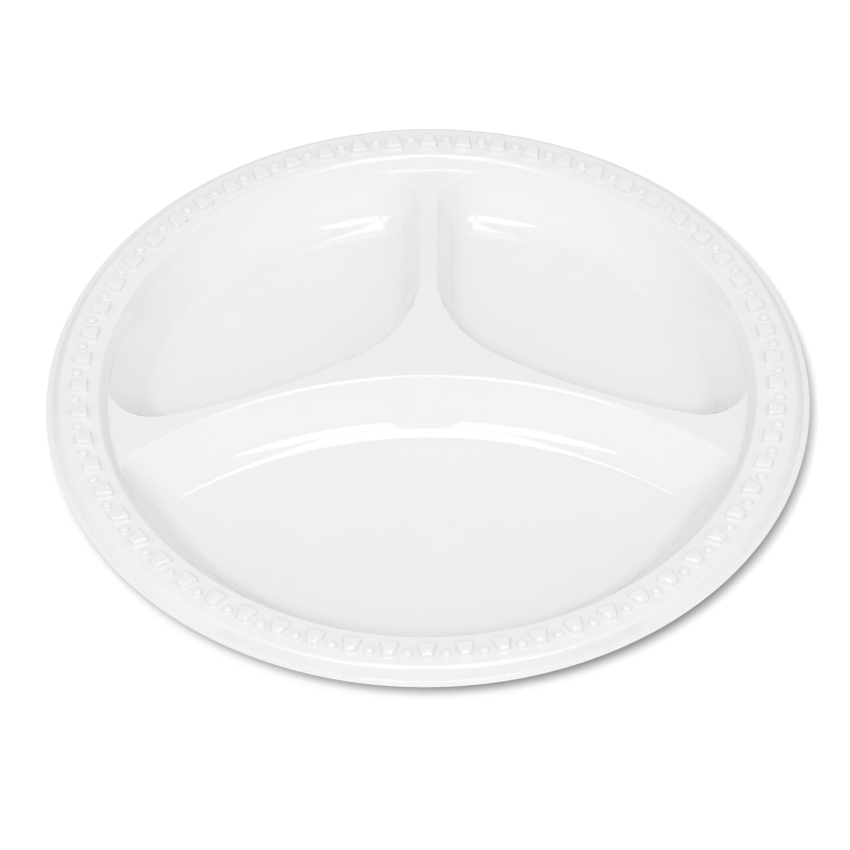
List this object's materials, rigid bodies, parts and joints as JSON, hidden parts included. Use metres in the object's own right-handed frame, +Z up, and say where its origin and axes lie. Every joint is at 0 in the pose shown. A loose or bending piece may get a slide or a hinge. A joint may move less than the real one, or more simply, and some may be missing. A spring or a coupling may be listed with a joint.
{
  "type": "compartment plate",
  "caption": "Round white plastic plate with two wells at the back, one wide well at the front and a raised rim with a wedge-and-bead border.",
  "frame": {"origin": "on the table under the middle of the plate, in the plane of the wells' undersides", "axes": "+Z up, -Y towards the wide front well, +X to the right when the front well is nearest"},
  "size_m": [0.26, 0.26, 0.022],
  "materials": {
    "plastic": "glossy white polystyrene"
  },
  "bodies": {
    "root": {"outer_lip": "plastic", "rim_band": "plastic", "step_wall": "plastic", "hub": "plastic", "back_arm": "plastic", "left_arm": "plastic", "right_arm": "plastic", "front_wall": "plastic", "back_left_wall": "plastic", "back_right_wall": "plastic", "front_floor": "plastic", "back_left_floor": "plastic", "back_right_floor": "plastic", "wedge_ring": "plastic", "bead_ring": "plastic"}
  },
  "joints": []
}
